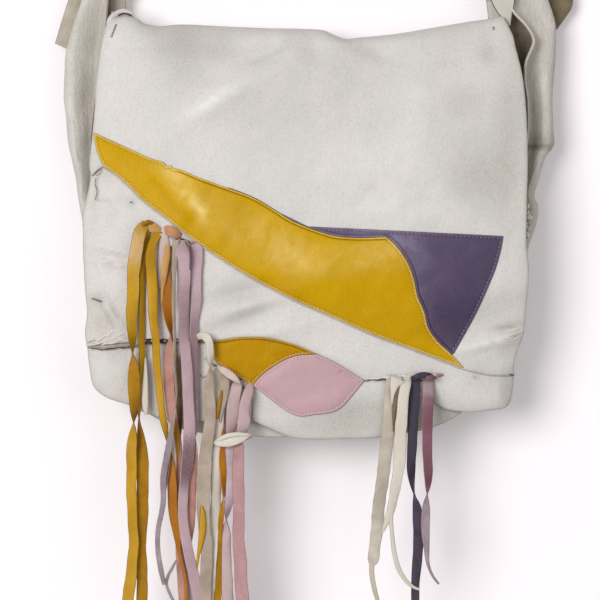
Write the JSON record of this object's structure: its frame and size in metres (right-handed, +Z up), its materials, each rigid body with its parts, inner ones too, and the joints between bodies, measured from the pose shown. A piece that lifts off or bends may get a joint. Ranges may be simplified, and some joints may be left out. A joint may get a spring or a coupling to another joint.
{
  "type": "fringed leather messenger bag",
  "caption": "Soft pale leather shoulder bag with a fold-over pieced flap, sewn colour blocks, laced hanging fringe and a shoulder strap it hangs by.",
  "frame": {"origin": "middle of the underside of the strap's crown, where the bag hangs on a peg or a shoulder", "axes": "+Z up along the hanging bag, -Y out of the flap's front, +X to the right seen from the front"},
  "size_m": [0.4022, 0.0786, 0.895],
  "materials": {
    "cream_leather": "soft grained leather, worn, satin",
    "yellow_leather": "smooth dyed leather, satin",
    "purple_leather": "smooth dyed leather, satin",
    "pink_leather": "smooth dyed leather, satin",
    "lilac_leather": "smooth dyed leather, satin",
    "salmon_leather": "suede side out, matte",
    "amber_leather": "suede side out, matte",
    "plum_leather": "suede side out, matte",
    "cream_suede": "suede side out, matte",
    "strap_leather": "soft leather, suede side out on the tails"
  },
  "bodies": {
    "root": {"back_panel": "cream_leather", "front_panel": "cream_leather", "base_gusset": "cream_leather", "gusset_left": "cream_leather", "gusset_right": "cream_leather", "flap_upper": "cream_leather", "flap_lower": "cream_leather", "flap_centre_lobe": "cream_leather", "flap_left_lobe": "cream_leather", "fringe_middle_cream": "cream_leather", "fringe_right_cream_inner": "cream_leather", "fringe_tie": "cream_leather", "patch_blade": "yellow_leather", "patch_leaf": "yellow_leather", "fringe_left_yellow_outer": "yellow_leather", "fringe_left_yellow_inner": "yellow_leather", "fringe_left_yellow_short": "yellow_leather", "patch_sail": "purple_leather", "fringe_right_purple": "purple_leather", "patch_petal": "pink_leather", "fringe_middle_pink_inner": "pink_leather", "fringe_middle_pink_outer": "pink_leather", "fringe_left_lilac_inner": "lilac_leather", "fringe_left_lilac_outer": "lilac_leather", "fringe_left_salmon": "salmon_leather", "fringe_middle_amber": "amber_leather", "fringe_right_plum": "plum_leather", "fringe_left_cream_thin": "cream_suede", "fringe_middle_cream_wide": "cream_suede", "fringe_right_cream_outer": "cream_suede", "strap": "strap_leather"}
  },
  "joints": []
}
